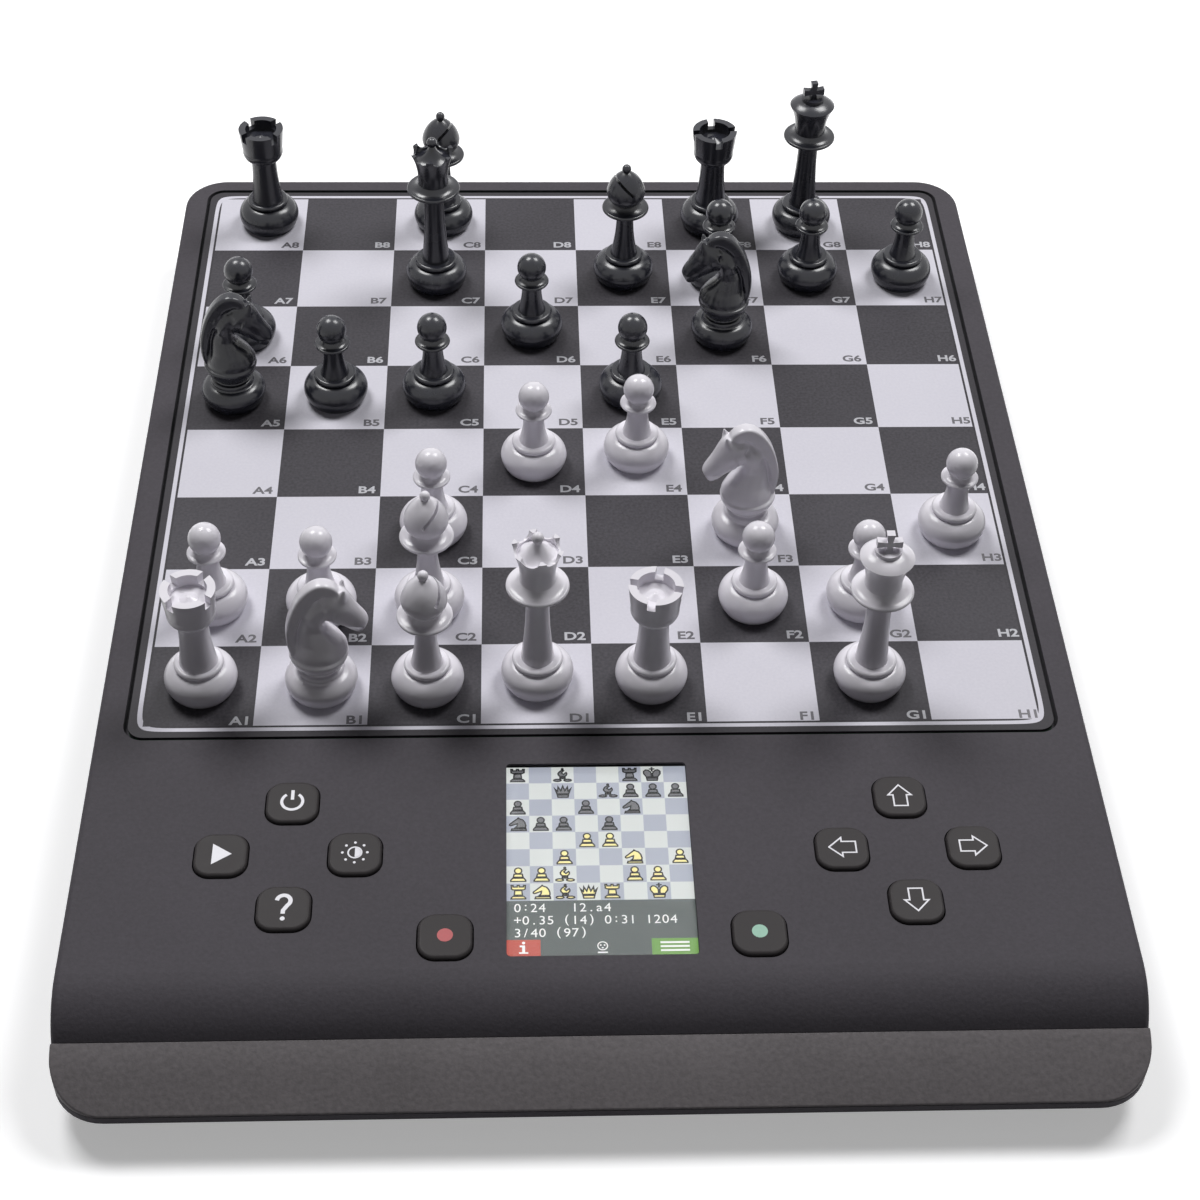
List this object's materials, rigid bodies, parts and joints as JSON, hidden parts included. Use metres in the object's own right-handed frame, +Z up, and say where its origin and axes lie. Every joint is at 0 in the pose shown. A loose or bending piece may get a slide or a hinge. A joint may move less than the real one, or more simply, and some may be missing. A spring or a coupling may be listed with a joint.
{
  "type": "electronic chess computer",
  "caption": "Tabletop electronic chess computer: flat case with a pressure-sensing board, colour screen, smoky keys, sloped front trim, battery bay and loose Staunton men.",
  "frame": {"origin": "on the table, under the middle of the case's plan outline", "axes": "+Z up; +Y away from the player, towards rank eight; +X towards the h file"},
  "size_m": [0.236, 0.3216, 0.0733],
  "materials": {
    "case_black": "fine spark texture",
    "trim_grey": "fine texture",
    "board_print": "printed film",
    "circuit_green": "solder mask",
    "display": "lit colour screen",
    "lens": "clear",
    "soft_rubber": "matte",
    "socket_black": "moulded",
    "cable_white": "film",
    "speaker_steel": "plated",
    "cell_steel": "wrapped",
    "contact_steel": "plated",
    "screw_steel": "zinc",
    "key_smoke": "smoky, glossy",
    "men_white": "glossy moulded",
    "men_black": "glossy moulded"
  },
  "bodies": {
    "case": {"bottom_case": "case_black", "top_cover": "case_black", "front_trim": "trim_grey", "board_overlay": "board_print", "sensor_board": "circuit_green", "display_panel": "display", "display_lens": "lens", "keypad_mat": "soft_rubber", "key_circuit": "circuit_green", "main_circuit": "circuit_green", "dc_jack": "socket_black", "ribbon_cable": "cable_white", "speaker": "speaker_steel", "batteries": "cell_steel", "battery_contacts": "contact_steel", "rubber_feet": "soft_rubber", "case_screws": "screw_steel"},
    "key_power": {"key_power": "key_smoke"},
    "key_play": {"key_play": "key_smoke"},
    "key_backlight": {"key_backlight": "key_smoke"},
    "key_help": {"key_help": "key_smoke"},
    "key_red": {"key_red": "key_smoke"},
    "key_up": {"key_up": "key_smoke"},
    "key_left": {"key_left": "key_smoke"},
    "key_right": {"key_right": "key_smoke"},
    "key_down": {"key_down": "key_smoke"},
    "key_green": {"key_green": "key_smoke"},
    "battery_door": {"battery_door": "case_black"},
    "white_pawn_a2": {"white_pawn_a2": "men_white"},
    "white_pawn_b2": {"white_pawn_b2": "men_white"},
    "white_pawn_c3": {"white_pawn_c3": "men_white"},
    "white_pawn_d4": {"white_pawn_d4": "men_white"},
    "white_pawn_e4": {"white_pawn_e4": "men_white"},
    "white_pawn_f2": {"white_pawn_f2": "men_white"},
    "white_pawn_g2": {"white_pawn_g2": "men_white"},
    "white_pawn_h3": {"white_pawn_h3": "men_white"},
    "white_rook_a1": {"white_rook_a1": "men_white"},
    "white_knight_b1": {"white_knight_b1": "men_white"},
    "white_bishop_c1": {"white_bishop_c1": "men_white"},
    "white_queen_d1": {"white_queen_d1": "men_white"},
    "white_rook_e1": {"white_rook_e1": "men_white"},
    "white_king_g1": {"white_king_g1": "men_white"},
    "white_bishop_c2": {"white_bishop_c2": "men_white"},
    "white_knight_f3": {"white_knight_f3": "men_white"},
    "black_rook_a8": {"black_rook_a8": "men_black"},
    "black_bishop_c8": {"black_bishop_c8": "men_black"},
    "black_rook_f8": {"black_rook_f8": "men_black"},
    "black_king_g8": {"black_king_g8": "men_black"},
    "black_queen_c7": {"black_queen_c7": "men_black"},
    "black_bishop_e7": {"black_bishop_e7": "men_black"},
    "black_pawn_f7": {"black_pawn_f7": "men_black"},
    "black_pawn_g7": {"black_pawn_g7": "men_black"},
    "black_pawn_h7": {"black_pawn_h7": "men_black"},
    "black_pawn_a6": {"black_pawn_a6": "men_black"},
    "black_pawn_d6": {"black_pawn_d6": "men_black"},
    "black_pawn_b5": {"black_pawn_b5": "men_black"},
    "black_pawn_c5": {"black_pawn_c5": "men_black"},
    "black_pawn_e5": {"black_pawn_e5": "men_black"},
    "black_knight_f6": {"black_knight_f6": "men_black"},
    "black_knight_a5": {"black_knight_a5": "men_black"}
  },
  "joints": [
    {"name": "press_key_power", "type": "slide", "parent": "case", "child": "key_power", "axis": [0, 0, -1], "range_m": [0, 0.0008], "stiffness_N_per_m": 400, "springref_m": -0.002, "deforming": ["keypad_mat"]},
    {"name": "press_key_play", "type": "slide", "parent": "case", "child": "key_play", "axis": [0, 0, -1], "range_m": [0, 0.0008], "stiffness_N_per_m": 400, "springref_m": -0.002, "deforming": ["keypad_mat"]},
    {"name": "press_key_backlight", "type": "slide", "parent": "case", "child": "key_backlight", "axis": [0, 0, -1], "range_m": [0, 0.0008], "stiffness_N_per_m": 400, "springref_m": -0.002, "deforming": ["keypad_mat"]},
    {"name": "press_key_help", "type": "slide", "parent": "case", "child": "key_help", "axis": [0, 0, -1], "range_m": [0, 0.0008], "stiffness_N_per_m": 400, "springref_m": -0.002, "deforming": ["keypad_mat"]},
    {"name": "press_key_red", "type": "slide", "parent": "case", "child": "key_red", "axis": [0, 0, -1], "range_m": [0, 0.0008], "stiffness_N_per_m": 400, "springref_m": -0.002, "deforming": ["keypad_mat"]},
    {"name": "press_key_up", "type": "slide", "parent": "case", "child": "key_up", "axis": [0, 0, -1], "range_m": [0, 0.0008], "stiffness_N_per_m": 400, "springref_m": -0.002, "deforming": ["keypad_mat"]},
    {"name": "press_key_left", "type": "slide", "parent": "case", "child": "key_left", "axis": [0, 0, -1], "range_m": [0, 0.0008], "stiffness_N_per_m": 400, "springref_m": -0.002, "deforming": ["keypad_mat"]},
    {"name": "press_key_right", "type": "slide", "parent": "case", "child": "key_right", "axis": [0, 0, -1], "range_m": [0, 0.0008], "stiffness_N_per_m": 400, "springref_m": -0.002, "deforming": ["keypad_mat"]},
    {"name": "press_key_down", "type": "slide", "parent": "case", "child": "key_down", "axis": [0, 0, -1], "range_m": [0, 0.0008], "stiffness_N_per_m": 400, "springref_m": -0.002, "deforming": ["keypad_mat"]},
    {"name": "press_key_green", "type": "slide", "parent": "case", "child": "key_green", "axis": [0, 0, -1], "range_m": [0, 0.0008], "stiffness_N_per_m": 400, "springref_m": -0.002, "deforming": ["keypad_mat"]},
    {"name": "open_battery_door", "type": "hinge", "parent": "case", "child": "battery_door", "pos_m": [0.042, -0.00165, 0.0031], "axis": [-1, 0, 0], "range_deg": [0, 75]},
    {"name": "lift_white_pawn_a2", "type": "slide", "parent": "case", "child": "white_pawn_a2", "axis": [0, 0, 1], "range_m": [0, 0.06]},
    {"name": "lift_white_pawn_b2", "type": "slide", "parent": "case", "child": "white_pawn_b2", "axis": [0, 0, 1], "range_m": [0, 0.06]},
    {"name": "lift_white_pawn_c3", "type": "slide", "parent": "case", "child": "white_pawn_c3", "axis": [0, 0, 1], "range_m": [0, 0.06]},
    {"name": "lift_white_pawn_d4", "type": "slide", "parent": "case", "child": "white_pawn_d4", "axis": [0, 0, 1], "range_m": [0, 0.06]},
    {"name": "lift_white_pawn_e4", "type": "slide", "parent": "case", "child": "white_pawn_e4", "axis": [0, 0, 1], "range_m": [0, 0.06]},
    {"name": "lift_white_pawn_f2", "type": "slide", "parent": "case", "child": "white_pawn_f2", "axis": [0, 0, 1], "range_m": [0, 0.06]},
    {"name": "lift_white_pawn_g2", "type": "slide", "parent": "case", "child": "white_pawn_g2", "axis": [0, 0, 1], "range_m": [0, 0.06]},
    {"name": "lift_white_pawn_h3", "type": "slide", "parent": "case", "child": "white_pawn_h3", "axis": [0, 0, 1], "range_m": [0, 0.06]},
    {"name": "lift_white_rook_a1", "type": "slide", "parent": "case", "child": "white_rook_a1", "axis": [0, 0, 1], "range_m": [0, 0.06]},
    {"name": "lift_white_knight_b1", "type": "slide", "parent": "case", "child": "white_knight_b1", "axis": [0, 0, 1], "range_m": [0, 0.06]},
    {"name": "lift_white_bishop_c1", "type": "slide", "parent": "case", "child": "white_bishop_c1", "axis": [0, 0, 1], "range_m": [0, 0.06]},
    {"name": "lift_white_queen_d1", "type": "slide", "parent": "case", "child": "white_queen_d1", "axis": [0, 0, 1], "range_m": [0, 0.06]},
    {"name": "lift_white_rook_e1", "type": "slide", "parent": "case", "child": "white_rook_e1", "axis": [0, 0, 1], "range_m": [0, 0.06]},
    {"name": "lift_white_king_g1", "type": "slide", "parent": "case", "child": "white_king_g1", "axis": [0, 0, 1], "range_m": [0, 0.06]},
    {"name": "lift_white_bishop_c2", "type": "slide", "parent": "case", "child": "white_bishop_c2", "axis": [0, 0, 1], "range_m": [0, 0.06]},
    {"name": "lift_white_knight_f3", "type": "slide", "parent": "case", "child": "white_knight_f3", "axis": [0, 0, 1], "range_m": [0, 0.06]},
    {"name": "lift_black_rook_a8", "type": "slide", "parent": "case", "child": "black_rook_a8", "axis": [0, 0, 1], "range_m": [0, 0.06]},
    {"name": "lift_black_bishop_c8", "type": "slide", "parent": "case", "child": "black_bishop_c8", "axis": [0, 0, 1], "range_m": [0, 0.06]},
    {"name": "lift_black_rook_f8", "type": "slide", "parent": "case", "child": "black_rook_f8", "axis": [0, 0, 1], "range_m": [0, 0.06]},
    {"name": "lift_black_king_g8", "type": "slide", "parent": "case", "child": "black_king_g8", "axis": [0, 0, 1], "range_m": [0, 0.06]},
    {"name": "lift_black_queen_c7", "type": "slide", "parent": "case", "child": "black_queen_c7", "axis": [0, 0, 1], "range_m": [0, 0.06]},
    {"name": "lift_black_bishop_e7", "type": "slide", "parent": "case", "child": "black_bishop_e7", "axis": [0, 0, 1], "range_m": [0, 0.06]},
    {"name": "lift_black_pawn_f7", "type": "slide", "parent": "case", "child": "black_pawn_f7", "axis": [0, 0, 1], "range_m": [0, 0.06]},
    {"name": "lift_black_pawn_g7", "type": "slide", "parent": "case", "child": "black_pawn_g7", "axis": [0, 0, 1], "range_m": [0, 0.06]},
    {"name": "lift_black_pawn_h7", "type": "slide", "parent": "case", "child": "black_pawn_h7", "axis": [0, 0, 1], "range_m": [0, 0.06]},
    {"name": "lift_black_pawn_a6", "type": "slide", "parent": "case", "child": "black_pawn_a6", "axis": [0, 0, 1], "range_m": [0, 0.06]},
    {"name": "lift_black_pawn_d6", "type": "slide", "parent": "case", "child": "black_pawn_d6", "axis": [0, 0, 1], "range_m": [0, 0.06]},
    {"name": "lift_black_pawn_b5", "type": "slide", "parent": "case", "child": "black_pawn_b5", "axis": [0, 0, 1], "range_m": [0, 0.06]},
    {"name": "lift_black_pawn_c5", "type": "slide", "parent": "case", "child": "black_pawn_c5", "axis": [0, 0, 1], "range_m": [0, 0.06]},
    {"name": "lift_black_pawn_e5", "type": "slide", "parent": "case", "child": "black_pawn_e5", "axis": [0, 0, 1], "range_m": [0, 0.06]},
    {"name": "lift_black_knight_f6", "type": "slide", "parent": "case", "child": "black_knight_f6", "axis": [0, 0, 1], "range_m": [0, 0.06]},
    {"name": "lift_black_knight_a5", "type": "slide", "parent": "case", "child": "black_knight_a5", "axis": [0, 0, 1], "range_m": [0, 0.06]}
  ]
}
